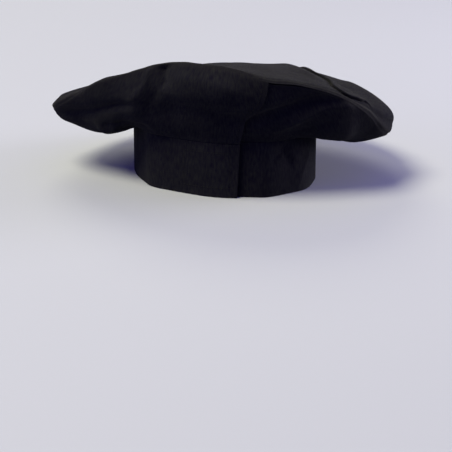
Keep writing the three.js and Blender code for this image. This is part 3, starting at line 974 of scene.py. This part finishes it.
def twill():
    """Black cotton twill: fine diagonal ribs, slubs along the grain, and paler seams and edges. These
    are wear, and along the rim seam and its lip they are also painted highlight.
    """
    material, nodes, links, shader = new_material("black_twill")
    shader.inputs["Specular IOR Level"].default_value = 0.01
    shader.inputs["Sheen Weight"].default_value = 0.012
    shader.inputs["Sheen Roughness"].default_value = 0.45
    flat = nodes.new("ShaderNodeUVMap")
    flat.uv_map = "cloth"
    grain = flat.outputs["UV"]
    rib_grain = mapping_node(nodes, links, grain, turn=RIB_TURN)
    pick_grain = mapping_node(nodes, links, grain, turn=PICK_TURN)
    slub_grain = mapping_node(nodes, links, grain, scale=SLUB_SCALE)
    ribs = wave_node(nodes, links, rib_grain, RIB_SPACING, distortion=1.2)
    picks = wave_node(nodes, links, pick_grain, PICK_SPACING, distortion=0.8)
    slubs = noise_node(nodes, links, slub_grain, scale=1.0, detail=2.5)
    clouds = noise_node(nodes, links, grain, scale=22.0, detail=3.0)
    fuzz = noise_node(nodes, links, grain, scale=900.0, detail=3.0, roughness=0.65)
    crumple = noise_node(nodes, links, grain, scale=85.0, detail=3.0, roughness=0.55)

    yarn = tone_ramp(nodes, links, slubs, (0.3, 0.0025, 0.0021, 0.0066), (0.7, 0.0080, 0.0081, 0.0104))
    rib_shade = tone_ramp(nodes, links, ribs, (0.0, 0.62, 0.62, 0.62), (0.6, 1.0, 1.0, 1.0))
    cloud_shade = tone_ramp(nodes, links, clouds, (0.3, 0.82, 0.82, 0.84), (0.7, 1.15, 1.15, 1.12))
    tone = mixed(nodes, links, 1.0, yarn, rib_shade, "MULTIPLY")
    tone = mixed(nodes, links, 1.0, tone, cloud_shade, "MULTIPLY")
    # Paler tone near seams and edges: wear, and along the rim seam and its lip also painted highlight.
    wear_and_highlight = nodes.new("ShaderNodeAttribute")
    wear_and_highlight.attribute_name = "wear_and_highlight"
    paler_by_wear_and_highlight = nodes.new("ShaderNodeMath")
    paler_by_wear_and_highlight.operation = "MULTIPLY"
    links.new(wear_and_highlight.outputs["Fac"], paler_by_wear_and_highlight.inputs[0])
    links.new(fuzz, paler_by_wear_and_highlight.inputs[1])
    tone = mixed(nodes, links, paler_by_wear_and_highlight.outputs["Value"], tone, (0.0095, 0.0090, 0.0105, 1.0))
    links.new(tone, shader.inputs["Base Color"])

    dull = tone_ramp(nodes, links, fuzz, (0.2, 0.76, 0.76, 0.76), (0.8, 0.94, 0.94, 0.94))
    links.new(dull, shader.inputs["Roughness"])

    surface = bump_node(nodes, links, crumple, distance=0.0012, strength=0.5)
    surface = bump_node(nodes, links, ribs, distance=0.00018, strength=0.7, below=surface)
    surface = bump_node(nodes, links, picks, distance=0.00008, strength=0.5, below=surface)
    surface = bump_node(nodes, links, fuzz, distance=0.00012, strength=0.4, below=surface)
    links.new(surface, shader.inputs["Normal"])
    return material


def thread():
    """Black polyester thread with a faint gloss and a twist."""
    material, nodes, links, shader = new_material("black_thread")
    shader.inputs["Roughness"].default_value = 0.7
    shader.inputs["Specular IOR Level"].default_value = 0.05
    place = nodes.new("ShaderNodeTexCoord")
    fibres = noise_node(nodes, links, place.outputs["Object"], scale=2500.0, detail=2.0)
    tone = tone_ramp(nodes, links, fibres, (0.3, 0.0022, 0.0021, 0.0028), (0.7, 0.0042, 0.0040, 0.0050))
    links.new(tone, shader.inputs["Base Color"])
    surface = bump_node(nodes, links, fibres, distance=0.0001, strength=0.4)
    links.new(surface, shader.inputs["Normal"])
    return material


def hook_and_loop():
    """Black hook-and-loop tape: rows of fine loops."""
    material, nodes, links, shader = new_material("black_hook_and_loop")
    shader.inputs["Specular IOR Level"].default_value = 0.15
    place = nodes.new("ShaderNodeTexCoord")
    cells = nodes.new("ShaderNodeTexVoronoi")
    cells.inputs["Scale"].default_value = 900.0
    links.new(place.outputs["Object"], cells.inputs["Vector"])
    loops = cells.outputs["Distance"]
    tone = tone_ramp(nodes, links, loops, (0.0, 0.014, 0.014, 0.015), (0.8, 0.005, 0.005, 0.006))
    links.new(tone, shader.inputs["Base Color"])
    dull = tone_ramp(nodes, links, loops, (0.0, 0.6, 0.6, 0.6), (0.8, 0.9, 0.9, 0.9))
    links.new(dull, shader.inputs["Roughness"])
    surface = bump_node(nodes, links, loops, distance=0.0006, strength=0.8)
    links.new(surface, shader.inputs["Normal"])
    return material


def aim_camera():
    """Place the camera and turn it so that the band's centre falls on its pixel."""
    data = bpy.data.cameras.new("camera")
    data.sensor_width = SENSOR
    data.lens = SENSOR * DISTANCE / MM_PER_PIXEL / PICTURE
    data.clip_end = VIEW_END
    camera = bpy.data.objects.new("camera", data)
    bpy.context.scene.collection.objects.link(camera)
    tilt = math.radians(ELEVATION)
    target = Vector((BAND_CENTRE[0], BAND_CENTRE[1], 0.0)) * MM
    place = target + Vector((0.0, -math.cos(tilt), math.sin(tilt))) * DISTANCE * MM
    right = (BAND_PIXEL[0] - PICTURE / 2.0) * MM_PER_PIXEL / DISTANCE
    up = (PICTURE / 2.0 - BAND_PIXEL[1]) * MM_PER_PIXEL / DISTANCE
    pitch = math.radians(90.0) - tilt - math.atan(up)
    yaw = math.atan(right)
    camera.matrix_world = (Matrix.Translation(place) @ Matrix.Rotation(yaw, 4, "Z")
                           @ Matrix.Rotation(pitch, 4, "X"))
    bpy.context.scene.camera = camera


def area_light(name, place, target, size, watts, colour):
    """A round soft light that points at a target, with sizes in metres."""
    data = bpy.data.lights.new(name, "AREA")
    data.shape = "DISK"
    data.size = size
    data.energy = watts
    data.color = colour
    lamp = bpy.data.objects.new(name, data)
    bpy.context.scene.collection.objects.link(lamp)
    lamp.location = place
    lamp.rotation_euler = (Vector(target) - Vector(place)).to_track_quat("-Z", "Y").to_euler()


def pale_floor():
    """A wide matt floor, which is the whole background of the picture."""
    corners = [(x * FLOOR_REACH, y * FLOOR_REACH, 0.0) for x, y in ((-1, -1), (1, -1), (1, 1), (-1, 1))]
    mesh = bpy.data.meshes.new("floor")
    mesh.from_pydata(corners, [], [(0, 1, 2, 3)])
    floor = bpy.data.objects.new("floor", mesh)
    bpy.context.scene.collection.objects.link(floor)
    material, _, _, shader = new_material("pale_floor")
    shader.inputs["Base Color"].default_value = FLOOR_COLOUR
    shader.inputs["Roughness"].default_value = 0.95
    shader.inputs["Specular IOR Level"].default_value = 0.1
    mesh.materials.append(material)


def studio():
    """A high key light on the near left, a back light, two low side lights and a bluish room."""
    bpy.context.scene.view_settings.view_transform = "Standard"
    world = bpy.data.worlds.new("room")
    world.use_nodes = True
    background = world.node_tree.nodes["Background"]
    background.inputs["Color"].default_value = ROOM_COLOUR
    background.inputs["Strength"].default_value = ROOM_STRENGTH
    bpy.context.scene.world = world
    for light in LIGHTS:
        area_light(*light)
    pale_floor()


cloth = twill()
black_thread = thread()

side_cloth = crown_side()
top_cloth = crown_top()
band_cloth = headband()
for piece, node in ((side_cloth, "crown_side"), (top_cloth, "crown_top"), (band_cloth, "headband")):
    piece.data.materials.append(cloth)
    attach(piece, "root")
    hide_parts(node)

hem_inset = math.degrees(HEM_STITCH_INSET / LAP_RADIUS)
hem_path = [(side_edge_angle(place) - hem_inset, place) for place in HEM_STITCH_PLACES]
lap_stitches = stitches("lap_hem_stitches", stitch_row(side_surface, side_detail, hem_path))
strip_low, strip_high = (height / BAND_HEIGHT for height in STRIP_HEIGHTS)
closure_path = [(STRIP_TURNS[0], strip_low), (STRIP_TURNS[1], strip_low), (STRIP_TURNS[1], strip_high),
                (STRIP_TURNS[0], strip_high), (STRIP_TURNS[0], strip_low)]
closure_stitches = stitches("closure_stitches", stitch_row(band_surface, band_detail, closure_path))
for piece in (lap_stitches, closure_stitches):
    piece.data.materials.append(black_thread)
    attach(piece, "root")

strip = bpy.data.objects["closure_strip"]
strip.data.materials.clear()
strip.data.materials.append(hook_and_loop())

aim_camera()
studio()
